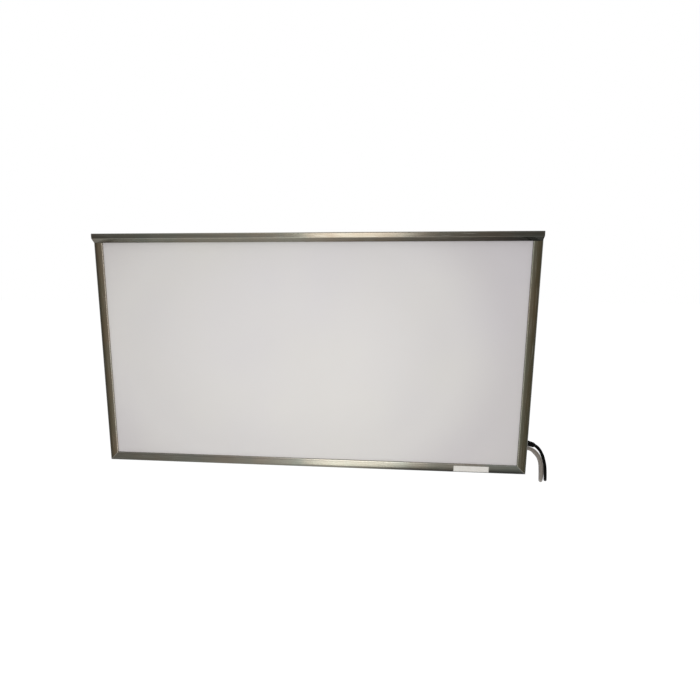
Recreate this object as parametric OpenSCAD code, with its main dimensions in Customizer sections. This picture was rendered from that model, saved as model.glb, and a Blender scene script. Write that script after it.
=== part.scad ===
// Wall-hung x-ray film viewer for two large films side by side, in millimetres.
// X runs to the right and Z up, and the screen faces -Y. The wall is the plane y = 0.
// The modules work with z = 0 at the middle of the screen. hung() then lowers each piece, so
// that the origin lies on the wall, midway between the two keyholes.

/* [Screen] */
// Width of the screen between the side frames
screen_w = 816; // [600:1:1100]
// Height of the screen, a 43 cm film from the grip to the bottom frame
screen_h = 432; // [400:1:480]
// Thickness of the opal panel
diffuser_t = 3; // [2:0.5:4]
// How far the opal panel reaches behind the frame on each side
diffuser_tuck = 8; // [5:0.5:9]

/* [Frame] */
// Width of the frame as seen from the front
frame_face = 19; // [16:0.5:24]
// Depth of the side of the frame
frame_wrap = 24; // [16:1:40]
// Radius of the frame's outer edge
frame_edge_r = 7; // [5:0.5:8]
// Thickness of the frame's steel
frame_gauge = 1; // [0.6:0.1:1.2]
// Depth of the lip that the opal panel lies against
frame_lip = 3; // [2.4:0.1:4]

/* [Film grip] */
// Height of the rail above the edge of the screen
rail_rise = 17.2; // [16.8:0.1:20]
// Height of the rail's upright nose
rail_nose = 9.7; // [9:0.1:11]
// How far the nose stands in front of the frame
rail_proud = 10.5; // [10:0.5:14]
// How far the rail's top reaches back over the case
rail_back = 34; // [20:1:60]
// Thickness of the rail's steel
rail_gauge = 1.2; // [0.8:0.1:1.5]
// Outer radius of the rail's bends
rail_bend_r = 2; // [1.6:0.1:3]
// How far the rail stays inside the frame's width at each end
rail_inset = 4.5; // [0:0.5:6]
// Number of loose rollers
roller_count = 6; // [4:1:8]
// Diameter of a roller
roller_d = 9; // [7:0.5:9]
// Thickness of the plates between the rollers
divider_t = 1.6; // [1:0.1:3]

/* [Case] */
// Depth from the back of the case to the front of the frame
body_depth = 100; // [90:1:140]
// Space between the case and the wall
wall_gap = 24; // [22:0.5:40]
// Thickness of the case's steel
case_gauge = 1; // [0.8:0.1:1.5]
// Outer radius of the case's folds
case_bend_r = 3; // [2:0.5:6]
// Width of the fold behind the opal panel
case_return = 15; // [12:0.5:18]
// Length of a vent slot
slot_len = 40; // [20:1:60]
// Width of a vent slot
slot_w = 5; // [3:0.5:8]
// Number of vent slots in a row
slot_count = 12; // [4:1:14]
// Number of louvres in a row on the back
louvre_count = 7; // [3:1:9]
// Length of a louvre
louvre_len = 46; // [30:1:60]
// Radius of a louvre's hood
louvre_r = 5; // [4:0.5:7]

/* [Lamps] */
// Number of lamps
lamp_count = 4; // [3:1:6]
// Height of a lampholder
holder_t = 13; // [12:0.5:16]
// Diameter of a lamp
lamp_d = 26; // [16:0.5:26]
// Distance of the reflector from the back of the case
reflector_off = 34; // [32:1:40]
// Distance of the lamps' axes from the reflector
lamp_off = 20; // [18:0.5:24]

/* [Switches] */
// Length of the switch's bezel
bezel_len = 31; // [28:0.5:36]
// Width of the switch's bezel
bezel_w = 25; // [22:0.5:28]
// Angle that the rocker turns through
rocker_swing = 20; // [12:1:24]

/* [Hangers] */
// Distance between the keyholes
hook_spacing = 640; // [400:1:760]
// Height of the keyholes above the middle of the screen
hook_rise = 170; // [120:1:180]
// Diameter of the wide end of a keyhole
key_d = 10; // [8:0.5:12]
// Width of the narrow end of a keyhole
key_slot = 5.5; // [4:0.5:6]

/* [Leads] */
// Diameter of the black mains lead
mains_d = 6.2; // [6:0.1:6.4]
// Turns in the coil of the mains lead
mains_turns = 5.5; // [3.5:1:7.5]
// Radius at the middle of the turns of the mains lead
mains_coil_r = 36; // [34:0.5:37]
// Diameter of the grey link lead
link_d = 8; // [7.6:0.1:8.2]
// Turns in the coil of the link lead
link_turns = 3.5; // [2.5:1:5.5]
// Radius at the middle of the turns of the link lead
link_coil_r = 42; // [41:0.5:45]

/* [Hidden] */
$fn = 64;

// Clearances
seat_gap = 0.2;
running_gap = 0.15;
end_gap = 0.5;
pin_gap = 0.06;
overrun = 1;

// Least number of degrees that one flat of a bend turns through
bend_step = 10;

// Main planes and edges
front_y = -wall_gap - body_depth;
back_y = -wall_gap;
screen_x = screen_w / 2;
screen_z = screen_h / 2;
frame_x = screen_x + frame_face;
frame_z = screen_z + frame_face;
rail_top = screen_z + rail_rise;

// Case: it stands inside the flange of the frame, and under the top of the rail
case_x = frame_x - frame_gauge - seat_gap;
case_low = -frame_z + frame_gauge + seat_gap;
case_high = rail_top - rail_gauge - seat_gap;
case_front = front_y + frame_edge_r + seat_gap;
case_h = case_high - case_low;
case_fold = case_bend_r - case_gauge;

// Fold of the lip, inside, and the keys in the corners of the frame
lip_fold = 0.3;
key_inset = 1.6;
key_w = 8;
key_leg = 46;

// Opal panel and its gasket
diffuser_front = front_y + frame_lip;
diffuser_back = diffuser_front + diffuser_t;
diffuser_high = case_high - case_gauge - seat_gap;
gasket_w = 6;

// Film grip: the slope runs from the lip forward and up to the nose
lip_out = 1.1;
slope_rise = rail_rise - rail_nose;
slope_run = rail_proud - lip_out;
slope_len = sqrt(slope_run * slope_run + slope_rise * slope_rise);
slope_fwd_share = slope_run / slope_len;
slope_up_share = slope_rise / slope_len;
rail_x = frame_x - rail_inset;
cap_t = 1;
roller_r = roller_d / 2;
// A roller rests between the face of the opal panel and the inside of the slope
roller_fwd = roller_r + running_gap - frame_lip;
roller_off = roller_r + running_gap + rail_gauge;
roller_up = (roller_off + slope_up_share * (roller_fwd - lip_out)) / slope_fwd_share;
roller_y = front_y - roller_fwd;
roller_z = screen_z + roller_up;
roller_end_r = 0.6;
bay_w = (screen_w - divider_t * (roller_count + 1) - end_gap * 2) / roller_count;
roller_len = bay_w - end_gap * 2;

// Inside of the case
case_in_x = case_x - case_gauge;
case_in_low = case_low + case_gauge;
case_in_high = case_high - case_gauge;
floor_y = back_y - case_gauge;
reflector_y = floor_y - reflector_off;
reflector_gauge = 0.8;
reflector_wing = 42;
reflector_wing_rise = 30;
reflector_side_space = 8;
ridge_w = 36;
ridge_h = 11;
ridge_bend_r = 2;
lamp_mid = (case_in_high + case_in_low) / 2;
lamp_y = reflector_y - lamp_off;
lamp_pitch = screen_w / lamp_count;
lamp_wall = 0.9;
cap_len = 18;
cap_over = 0.3;
pin_d = 2.4;
pin_len = 7;
pin_pitch = 12.7;
// Length of a lamp between the faces of its caps
lamp_len = case_in_high - case_in_low - 2 * (holder_t + seat_gap);
holder_w = 20;
holder_r = 12;
holder_face_gap = 0.2;
holder_hole_d = 2.8;
holder_rail_w = holder_t - seat_gap;
holder_rail_gauge = 1;
holder_rail_foot = 12;
rail_end_space = 30;
ballast_len = 240;
ballast_w = 30;
ballast_h = 27;
ballast_bend_r = 2;
ballast_tab = 14;
ballast_tab_t = 1.2;
screw_head_d = 7;
screw_head_h = 2.6;
screw_cross = 1;
ballast_z = 40;
block_len = 42;
block_w = 20;
block_h = 16;
block_poles = 3;
block_in = 52.8;
block_rise = 102.8;
block_x = case_in_x - block_in;
block_z = case_in_low + block_rise;
stud_d = 5;
stud_len = 16;
stud_nut_d = 9;
stud_nut_h = 4;
washer_d = 11;
washer_t = 1;
stud_space = 42;
stud_x = block_x - stud_space;

// Switches, in the underside of the case between the ends of the lamps
switch_fwd = 1;
switch_x = (lamp_count / 2 - 1) * lamp_pitch;
switch_y = lamp_y - switch_fwd;
bezel_t = 2;
bezel_bend_r = 2;
rocker_r = 12.6;
rocker_w = 18;
rocker_gap = 0.4;
rocker_hub_r = 4.6;
rocker_pin_d = 3;
rocker_thick = 3.4;
rocker_pivot = 3;
rocker_pin_seat = 1.2;
switch_end_wall = 1;
switch_side_wall = rocker_pin_seat + seat_gap;
switch_body_len = 2 * (rocker_r + rocker_gap + switch_end_wall);
switch_body_w = rocker_w + 2 * (rocker_gap + switch_side_wall);
switch_body_h = 13;
bezel_face = case_low - bezel_t;
pivot_z = bezel_face + rocker_pivot;

// Screws that show
trim_screw_d = 6.5;
trim_screw_top_d = 4.6;
trim_screw_h = 1.8;
trim_screw_rows = 3;
trim_screw_columns = 5;
trim_screw_slot = 1.2;
trim_screw_margin = 60;

// Hangers, rivets and rubber buffers on the back
hanger_gauge = 1.5;
hanger_plate = 44;
hanger_flange = 16;
hanger_h = 58;
hanger_bend_r = 3;
key_rise = 13;
rivet_d = 8;
rivet_h = 2;
// Widths of a rivet's head half way up and at its top
rivet_mid_share = 0.84;
rivet_top_share = 0.44;
rivet_in = 8;
buffer_d = 24;
buffer_tip_d = 19;
buffer_in = 25.8;
buffer_rise = 73.8;
buffer_x = case_x - buffer_in;
buffer_z = case_low + buffer_rise;
buffer_hole_d = 8;
buffer_hole_depth = 14;

// Vents
slot_pitch = 56;
slot_row = 13;
slot_rows_in = 16;
slot_rows_y = back_y - slot_rows_in;
slot_rows = 2;
louvre_wall = 0.8;
louvre_pitch = 64;
louvre_row = 20;
louvre_rows = 2;
louvre_drop = 34.8;
louvre_z = case_in_high - louvre_drop;
bottom_slot_count = slot_count - 4;

// Glands in the right side of the case
mains_gland_back = 41;
mains_gland_rise = 54.8;
link_gland_back = 60;
link_gland_rise = 40.8;
mains_gland_y = front_y + mains_gland_back;
mains_gland_z = case_low + mains_gland_rise;
link_gland_y = front_y + link_gland_back;
link_gland_z = case_low + link_gland_rise;
gland_flange_t = 1.6;
mains_flange_d = 17;
mains_neck_d = 12;
mains_relief_root_d = 12;
mains_relief_tip_d = 10.2;
mains_relief_cone = 3;
link_flange_d = 18;
link_neck_d = 13.5;
link_relief_root_d = 13.5;
link_relief_tip_d = 11.4;
link_relief_cone = 2;
relief_rim = 0.5;
relief_groove = 0.8;
relief_groove_w = 1.4;
relief_groove_pitch = 3.6;

// Coils: the turns lie in two layers, and the gap keeps the turns apart
turn_gap = 0.6;
mains_pitch = mains_d + turn_gap;
link_pitch = link_d + turn_gap;
rings_per_turn = 24;
coil_sides = 6;
lead_sides = 8;
mains_coil_off = 10;
link_coil_off = 16;
mains_coil_y = back_y + mains_coil_off;
link_coil_y = back_y + link_coil_off;
coil_z = -90;
mains_coil_x = 375;
link_coil_x = 250;
mains_layers = mains_turns / 2;
link_layers = link_turns / 2;
mains_outer_r = mains_coil_r + mains_layers / 2 * mains_pitch;
link_outer_r = link_coil_r + link_layers / 2 * link_pitch;

// Routes, from the tip of each strain relief down, back and up behind the case to its coil
mains_route = [
    [452.5, -83, -187.2], [460.5, -82.9, -193.4], [466.8, -82.6, -203], [471.7, -82.3, -214.5],
    [475.3, -81.9, -226.4], [478, -80.2, -240], [483.4, -70, -264], [492.2, -46.5, -274],
    [499.4, -23.5, -265], [499.3, -14.5, -249], [495.6, -12.2, -236], [489.4, -12, -225.5],
    [481.5, -12, -217], [471.8, -12, -211], [460, -12, -207.8], [444, -12.5, -206.4],
    [426, -13, -206], [407, -13.6, -206], [384.6, -14, -196.6], [375, -14, -174],
    [375, -14, -150], [375, -14, -122], [mains_coil_x, mains_coil_y, coil_z - mains_d]
];
link_route = [
    [446, -64, -200.8], [451, -64.4, -202.3], [457.3, -65.1, -205.3], [462, -65.6, -209.1],
    [466.6, -66.3, -215], [470.7, -67, -223.4], [473.8, -67.8, -234.9], [475.8, -68.2, -248.6],
    [477.8, -61.5, -268], [484.8, -41, -279.4], [492.4, -17, -269.6], [493, -8.6, -254.4],
    [489.2, -6.4, -243], [480.9, -6.2, -232.6], [471.9, -6.2, -225], [457, -6.4, -221],
    [440, -6.8, -220], [415, -7.2, -220], [385, -7.6, -220], [350, -8, -220], [316, -8, -220],
    [284, -8, -220], [260, -8, -210], [250, -8, -186], [250, -8, -156], [250, -8, -126],
    [link_coil_x, link_coil_y, coil_z - link_d]
];
mains_end_x = mains_coil_x - 2 * mains_outer_r;
mains_end_y = mains_coil_y + mains_pitch;
link_end_x = link_coil_x - 2 * link_outer_r;
link_end_y = link_coil_y - link_pitch;

// Plug and in-line socket: the depths are where their bodies lie in the space behind the case
plug_y = -11.5;
plug_z = -120;
plug_w = 34;
plug_t = 17;
plug_len = 36;
plug_grip_w = 24;
plug_relief_len = 26;
plug_relief_d = 11;
plug_pin_d = 4;
plug_pin_len = 19;
plug_pin_pitch = 19;
plug_earth_off = 3;
plug_edge_r = 4;
socket_y = -12;
socket_z = -122;
socket_w = 42;
socket_t = 20;
socket_len = 40;
socket_relief_len = 24;
socket_relief_d = 13;
socket_hole_d = 4.6;
socket_hole_depth = 20;
socket_edge_r = 5;

// Ties and the bases that hold them on the case
tie_w = 12;
tie_t = 1.2;
tie_gap = 0.4;
base_w = 20;
base_t = 1.6;
base_post_w = 8;

mains_tail = [
    [mains_end_x, mains_end_y, coil_z - mains_d],
    [mains_end_x, mains_end_y, coil_z - 2 * mains_d],
    [mains_end_x, plug_y, plug_z + mains_d],
    [mains_end_x, plug_y, plug_z]
];
link_tail = [
    [link_end_x, link_end_y, coil_z - link_d],
    [link_end_x, link_end_y, coil_z - 2 * link_d],
    [link_end_x, socket_y, socket_z + link_d],
    [link_end_x, socket_y, socket_z]
];
mains_root = [case_x, mains_gland_y, mains_gland_z];
link_root = [case_x, link_gland_y, link_gland_z];

// Colours
steel = [0.42, 0.40, 0.36];
painted = [0.86, 0.86, 0.83];
opal = [0.93, 0.93, 0.93];
black = [0.07, 0.07, 0.07];
grey = [0.56, 0.54, 0.50];
zinc = [0.72, 0.73, 0.74];
white = [0.95, 0.95, 0.93];
red = [0.75, 0.1, 0.08];

// Vectors and sheet metal

function unit(v) = v / norm(v);
function heading(path, i) = unit(path[i + 1] - path[i]);
function left_n(path, i) = let (h = heading(path, i)) [-h[1], h[0]];
function turned(v, angle) =
    [v[0] * cos(angle) - v[1] * sin(angle), v[0] * sin(angle) + v[1] * cos(angle)];

// The steel of a folded sheet lies to the left of its path. radii holds the outer radius of the
// bend at each corner. A line off the path by off is round at each corner, about the same middle.
function bend_points(path, i, gauge, r, off) =
    let (
        before = left_n(path, i - 1),
        after = left_n(path, i),
        side = sign(before[0] * after[1] - before[1] * after[0]),
        path_r = side > 0 ? r : r - gauge,
        mid = path[i] + side * path_r * (before + after) / (1 + before * after),
        turn = acos(before * after),
        steps = ceil(turn / bend_step)
    )
    [for (k = [0 : steps]) mid + (off - side * path_r) * turned(before, side * turn * k / steps)];
function sheet_line(path, gauge, radii, off) =
    let (last = len(path) - 1)
    [
        path[0] + off * left_n(path, 0),
        for (i = [1 : last - 1]) each bend_points(path, i, gauge, radii[i - 1], off),
        path[last] + off * left_n(path, last - 1)
    ];
function reversed(list) = [for (i = [len(list) - 1 : -1 : 0]) list[i]];

module folded_sheet(path, gauge, radii) {
    polygon(concat(
        sheet_line(path, gauge, radii, 0), reversed(sheet_line(path, gauge, radii, gauge))));
}

// Rectangle with round corners
module round_rect(w, h, r) {
    square([w, h - 2 * r], center = true);
    square([w - 2 * r, h], center = true);
    for (sx = [-1, 1], sy = [-1, 1])
        translate([sx * (w / 2 - r), sy * (h / 2 - r)]) circle(r = r);
}

// Slot with round ends, along the first axis
module round_slot(length, w) {
    square([length - w, w], center = true);
    for (s = [-1, 1])
        translate([s * (length - w) / 2, 0]) circle(d = w);
}

// Outline with y first: square at the front, with round corners at the back
module back_rounded(front, back, low, high, r) {
    translate([front, low]) square([back - front - r, high - low]);
    translate([front, low + r]) square([back - front, high - low - 2 * r]);
    for (w = [low + r, high - r])
        translate([back - r, w]) circle(r = r);
}

// Drawn with x first and z second, and thick along y
module across_y(low, high) {
    translate([0, high, 0]) rotate([90, 0, 0]) linear_extrude(high - low) children();
}

// Drawn with y first and z second, and thick along x
module across_x(low, high) {
    translate([low, 0, 0]) rotate([90, 0, 90]) linear_extrude(high - low) children();
}

module across_z(low, high) {
    translate([0, 0, low]) linear_extrude(high - low) children();
}

// Turned along y, from low to high
module round_y(x, z, low, high, d) {
    translate([x, high, z]) rotate([90, 0, 0]) cylinder(h = high - low, d = d);
}

module hung() {
    translate([0, 0, -hook_rise]) children();
}

module both_sides() {
    children();
    mirror([1, 0, 0]) children();
}

// Tubes

function line_length(p, i = 0) = i == len(p) - 1 ? 0 : norm(p[i + 1] - p[i]) + line_length(p, i + 1);
function tangent(p, i) =
    i == 0 ? unit(p[1] - p[0])
    : i == len(p) - 1 ? unit(p[i] - p[i - 1])
    : unit(unit(p[i + 1] - p[i]) + unit(p[i] - p[i - 1]));
// One side vector for each ring, carried along so that the tube doesn't twist
function carried(p, i, side) = let (t = tangent(p, i)) unit(side - t * (side * t));
function sides_along(p, i, side) =
    i == len(p) ? [] : let (s = carried(p, i, side)) concat([s], sides_along(p, i + 1, s));

module tube(p, d, sides) {
    first = tangent(p, 0);
    across = sides_along(p, 0, abs(first[1]) < 0.9 ? [0, 1, 0] : [1, 0, 0]);
    points = [
        for (i = [0 : len(p) - 1])
            let (t = tangent(p, i), u = across[i], v = cross(t, u))
                for (k = [0 : sides - 1])
                    p[i] + (u * cos(360 * k / sides) + v * sin(360 * k / sides)) * d / 2
    ];
    walls = [
        for (i = [0 : len(p) - 2], k = [0 : sides - 1])
            let (a = i * sides + k, b = i * sides + (k + 1) % sides)
                each [[a, a + sides, b], [b, a + sides, b + sides]]
    ];
    start = [for (k = [0 : sides - 1]) k];
    end = [for (k = [0 : sides - 1]) len(p) * sides - 1 - k];
    polyhedron(points, concat(walls, [start, end]));
}

// A coil of two layers, in to the middle and out again. It starts at its right, going up, and
// ends at its left, going down. It changes layer in the half turn where the spiral reverses.
function climb(t, layers) = let (s = max(0, min(1, (t - layers + 0.25) * 2))) s * s * (3 - 2 * s);
function coil_point(t, outer, layers, pitch, step, mid) =
    let (r = outer - pitch * (t < layers ? t : 2 * layers - t))
    mid + [r * cos(360 * t), step * climb(t, layers), r * sin(360 * t)];
function coil_line(outer, layers, pitch, step, mid, d) =
    let (
        line = [
            for (k = [0 : 2 * layers * rings_per_turn])
                coil_point(k / rings_per_turn, outer, layers, pitch, step, mid)
        ]
    )
    concat([line[0] - [0, 0, d]], line, [line[len(line) - 1] - [0, 0, d]]);

// Least space between two parts of a coil that are over half a turn apart along it
function span_gap(p, a, b) =
    let (d = b - a, t = max(0, min(1, (p - a) * d / (d * d))))
    norm(p - a - t * d);
function coil_gap(line, d) =
    min([
        for (i = [0 : len(line) - 2], j = [i + rings_per_turn / 2 : len(line) - 2])
            span_gap(line[i], line[j], line[j + 1])
    ]) - d;

mains_mid = [mains_coil_x - mains_outer_r, mains_coil_y, coil_z];
link_mid = [link_coil_x - link_outer_r, link_coil_y, coil_z];
mains_line = coil_line(mains_outer_r, mains_layers, mains_pitch, mains_pitch, mains_mid, mains_d);
link_line = coil_line(link_outer_r, link_layers, link_pitch, -link_pitch, link_mid, link_d);
echo(mains_coil_gap = coil_gap(mains_line, mains_d));
echo(link_coil_gap = coil_gap(link_line, link_d));
echo(mains_length = line_length(mains_route) + line_length(mains_line) + line_length(mains_tail));
echo(link_length = line_length(link_route) + line_length(link_line) + line_length(link_tail));

// Frame

// Section of the frame: outwards from its inner edge, and backwards from its front
module frame_section() {
    folded_sheet(
        [[0, frame_lip], [0, 0], [frame_face, 0], [frame_face, frame_wrap]],
        frame_gauge, [frame_gauge + lip_fold, frame_edge_r]);
}

module side_frame() {
    intersection() {
        across_z(-frame_z - overrun, case_high)
            translate([screen_x, front_y]) frame_section();
        across_y(front_y - overrun, front_y + frame_wrap + overrun)
            polygon([
                [screen_x - overrun, -screen_z + overrun], [frame_x + overrun, -frame_z - overrun],
                [frame_x + overrun, case_high + overrun], [screen_x - overrun, case_high + overrun]
            ]);
    }
}

module frame_left() {
    color(steel) hung() mirror([1, 0, 0]) side_frame();
}

module frame_right() {
    color(steel) hung() side_frame();
}

module frame_bottom() {
    color(steel) hung() intersection() {
        across_x(-frame_x - overrun, frame_x + overrun)
            translate([front_y, -screen_z]) rotate(-90) frame_section();
        across_y(front_y - overrun, front_y + frame_wrap + overrun)
            polygon([
                [-frame_x - overrun, -frame_z - overrun], [frame_x + overrun, -frame_z - overrun],
                [screen_x - overrun, -screen_z + overrun], [-screen_x + overrun, -screen_z + overrun]
            ]);
    }
}

// Flat keys that hold the mitred corners square, behind the face of the frame
module corner_keys() {
    color(zinc) hung() both_sides()
        across_y(front_y + frame_gauge + seat_gap / 2, front_y + frame_lip - seat_gap / 2)
            translate([screen_x + key_inset, -screen_z - key_inset]) difference() {
                translate([key_w - key_leg, -key_w]) square([key_leg, key_leg]);
                translate([-key_leg, 0]) square([key_leg, key_leg]);
            }
}

// Film grip

// Line round the outside of the rail, with y first. Its open side faces the opal panel.
rail_path = [
    [front_y + rail_back, rail_top], [front_y - rail_proud, rail_top],
    [front_y - rail_proud, rail_top - rail_nose], [front_y - lip_out, screen_z]
];
rail_bends = [rail_bend_r, rail_bend_r];

// Height on a line that runs along the inside of the slope, at a distance off from its outside
function slope_z(fwd, off) = screen_z + (off + slope_up_share * (fwd - lip_out)) / slope_fwd_share;

// The space inside the rail in front of the frame, less a gap all round
module rail_inside(gap) {
    off = rail_gauge + gap;
    nose = rail_proud - off;
    top = rail_top - off;
    chamfer = rail_bend_r - rail_gauge;
    polygon([
        [front_y, slope_z(0, off)], [front_y - nose, slope_z(nose, off)],
        [front_y - nose, top - chamfer], [front_y - nose + chamfer, top], [front_y, top]
    ]);
}

module top_rail() {
    color(steel) hung() across_x(-rail_x, rail_x)
        folded_sheet(rail_path, rail_gauge, rail_bends);
}

module end_cap() {
    across_x(rail_x, rail_x + cap_t) intersection() {
        polygon(sheet_line(rail_path, rail_gauge, rail_bends, 0));
        translate([front_y - 2 * rail_proud, screen_z]) square(2 * rail_proud);
    }
}

module rail_end_cap_left() {
    color(steel) hung() mirror([1, 0, 0]) end_cap();
}

module rail_end_cap_right() {
    color(steel) hung() end_cap();
}

function divider_x(i) = -screen_x + end_gap + i * (bay_w + divider_t);

module roller_dividers() {
    color(zinc) hung() for (i = [0 : roller_count])
        across_x(divider_x(i), divider_x(i) + divider_t) rail_inside(seat_gap);
}

// Loose roller in bay i, which lies in the wedge between the slope and the opal panel
module grip_roller(i) {
    color(white) hung() translate([divider_x(i) + divider_t + end_gap, roller_y, roller_z])
        rotate([0, 90, 0]) rotate_extrude() {
            square([roller_r - roller_end_r, roller_len]);
            translate([0, roller_end_r]) square([roller_r, roller_len - 2 * roller_end_r]);
            for (end = [roller_end_r, roller_len - roller_end_r])
                translate([roller_r - roller_end_r, end]) circle(r = roller_end_r);
        }
}

// Screen

module diffuser() {
    color(opal) hung()
        translate([-screen_x - diffuser_tuck, diffuser_front, -screen_z - diffuser_tuck])
            cube([2 * (screen_x + diffuser_tuck), diffuser_t, screen_z + diffuser_tuck + diffuser_high]);
}

module diffuser_gasket() {
    x = screen_x + diffuser_tuck;
    low = -screen_z - diffuser_tuck;
    color(black) hung() across_y(diffuser_back, case_front) difference() {
        translate([-x, low]) square([2 * x, diffuser_high - low]);
        translate([-x + gasket_w, low + gasket_w])
            square([2 * (x - gasket_w), diffuser_high - low - 2 * gasket_w]);
    }
}

// Case

// Box with folded edges round its back
module folded_box(x, low, high, front, back, r) {
    intersection() {
        across_x(-x - overrun, x + overrun) back_rounded(front, back, low, high, r);
        across_z(low - overrun, high + overrun)
            mirror([1, -1]) back_rounded(front - overrun, back, -x, x, r);
    }
}

// Quarter of a capsule that lies along the back of the case, from the depth front backwards
module louvre(r, length, front) {
    intersection() {
        union() {
            rotate([0, 90, 0]) cylinder(h = length - 2 * r, r = r, center = true);
            for (s = [-1, 1])
                translate([s * (length / 2 - r), 0, 0]) sphere(r = r);
        }
        translate([-length, front, 0]) cube([2 * length, r + overrun - front, r + overrun]);
    }
}

module at_louvres() {
    for (i = [0 : louvre_count - 1], j = [0 : louvre_rows - 1])
        translate([(i - (louvre_count - 1) / 2) * louvre_pitch, back_y, louvre_z - j * louvre_row])
            children();
}

module vent_slots(count, low, high) {
    across_z(low, high)
        for (i = [0 : count - 1], j = [0 : slot_rows - 1])
            translate([(i - (count - 1) / 2) * slot_pitch, slot_rows_y - j * slot_row])
                round_slot(slot_len, slot_w);
}

module case_tray() {
    color(painted) hung() difference() {
        union() {
            difference() {
                folded_box(case_x, case_low, case_high, case_front, back_y, case_bend_r);
                folded_box(
                    case_in_x, case_in_low, case_in_high, case_front + case_gauge, floor_y, case_fold);
                across_y(case_front - overrun, case_front + case_gauge + overrun)
                    translate([-case_x + case_return, case_low + case_return])
                        square([2 * (case_x - case_return), case_h - 2 * case_return]);
            }
            at_louvres() louvre(louvre_r, louvre_len, -case_gauge / 2);
        }
        at_louvres()
            louvre(louvre_r - louvre_wall, louvre_len - 2 * louvre_wall, -case_gauge - overrun);
        vent_slots(slot_count, case_in_high - overrun, case_high + overrun);
        vent_slots(bottom_slot_count, case_low - overrun, case_in_low + overrun);
        across_z(case_low - overrun, case_in_low + overrun)
            for (s = [-1, 1])
                translate([s * switch_x, switch_y])
                    square([switch_body_len + 2 * seat_gap, switch_body_w + 2 * seat_gap], center = true);
        for (g = [[mains_root, mains_neck_d], [link_root, link_neck_d]])
            translate([case_in_x - overrun, g[0][1], g[0][2]]) rotate([0, 90, 0])
                cylinder(h = case_gauge + 2 * overrun, d = g[1] + 2 * seat_gap);
    }
}

// Lamps

function lamp_x(i) = (i - (lamp_count - 1) / 2) * lamp_pitch;

module at_lamps() {
    for (i = [0 : lamp_count - 1])
        translate([lamp_x(i), lamp_y, lamp_mid]) children();
}

module at_lamp_ends() {
    at_lamps() for (end = [0, 1])
        mirror([0, 0, end]) translate([0, 0, lamp_len / 2]) children();
}

module reflector() {
    wing_x = case_in_x - reflector_side_space;
    ridges = [
        for (i = [1 : lamp_count - 1], s = [-1, 0, 1])
            [(i - lamp_count / 2) * lamp_pitch + s * ridge_w / 2, reflector_y - (1 - abs(s)) * ridge_h]
    ];
    path = concat(
        [[-wing_x, reflector_y - reflector_wing_rise], [-wing_x + reflector_wing, reflector_y]],
        ridges,
        [[wing_x - reflector_wing, reflector_y], [wing_x, reflector_y - reflector_wing_rise]]
    );
    color(white) hung() across_z(lamp_mid - lamp_len / 2 + seat_gap, lamp_mid + lamp_len / 2 - seat_gap)
        folded_sheet(path, reflector_gauge, [for (i = [2 : len(path) - 1]) ridge_bend_r]);
}

module lamp_tubes() {
    length = lamp_len - 2 * cap_len;
    color(white) hung() at_lamps() difference() {
        cylinder(h = length, d = lamp_d, center = true);
        cylinder(h = length + 2 * overrun, d = lamp_d - 2 * lamp_wall, center = true);
    }
}

// Each cap closes one end of its tube and carries two pins
module lamp_caps() {
    color(zinc) hung() at_lamp_ends() {
        translate([0, 0, -cap_len]) cylinder(h = cap_len, d = lamp_d + 2 * cap_over);
        for (s = [-1, 1])
            translate([s * pin_pitch / 2, 0, -cap_len / 2]) cylinder(h = cap_len / 2 + pin_len, d = pin_d);
    }
}

// Push-in holders: a round head with two pin holes, on a foot that stands on the holder rail
module lampholders() {
    color(white) hung() at_lamp_ends() translate([0, 0, holder_face_gap]) difference() {
        linear_extrude(holder_t - holder_face_gap) {
            circle(r = holder_r);
            translate([-holder_w / 2, 0]) square([holder_w, lamp_off]);
        }
        for (s = [-1, 1])
            translate([s * pin_pitch / 2, 0, -overrun]) cylinder(h = pin_len + overrun, d = holder_hole_d);
    }
}

module lampholder_rails() {
    color(zinc) hung() translate([0, 0, lamp_mid]) for (end = [0, 1])
        mirror([0, 0, end]) translate([0, 0, lamp_len / 2 + holder_face_gap])
            across_x(-case_in_x + rail_end_space, case_in_x - rail_end_space)
                folded_sheet(
                    [
                        [reflector_y, holder_rail_w], [reflector_y, 0],
                        [floor_y - holder_rail_gauge, 0],
                        [floor_y - holder_rail_gauge, -holder_rail_foot]
                    ],
                    holder_rail_gauge, [ridge_bend_r, ridge_bend_r]);
}

// Electronic ballast with a tab at each end
module ballast(x) {
    color(zinc) hung() translate([x, 0, ballast_z]) {
        across_x(-ballast_len / 2, ballast_len / 2)
            translate([floor_y - ballast_h / 2, 0]) round_rect(ballast_h, ballast_w, ballast_bend_r);
        across_y(floor_y - ballast_tab_t, floor_y)
            round_rect(ballast_len + 2 * ballast_tab, ballast_w - 2 * ballast_bend_r, ballast_bend_r);
    }
}

module ballast_left() {
    ballast(-lamp_pitch);
}

module ballast_right() {
    ballast(lamp_pitch);
}

module ballast_screws() {
    color(zinc) hung() for (sx = [-1, 1], end = [-1, 1])
        translate([sx * lamp_pitch + end * (ballast_len + ballast_tab) / 2, 0, ballast_z])
            screw_head(floor_y - ballast_tab_t);
}

// Pan head on a face that looks towards -Y, with a cross recess
module screw_head(face) {
    difference() {
        round_y(0, 0, face - screw_head_h, face, screw_head_d);
        for (a = [0, 90])
            rotate([0, a, 0]) translate([-screw_head_d / 4, face - screw_head_h - overrun, -screw_cross / 2])
                cube([screw_head_d / 2, overrun + screw_head_h / 2, screw_cross]);
    }
}

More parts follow.
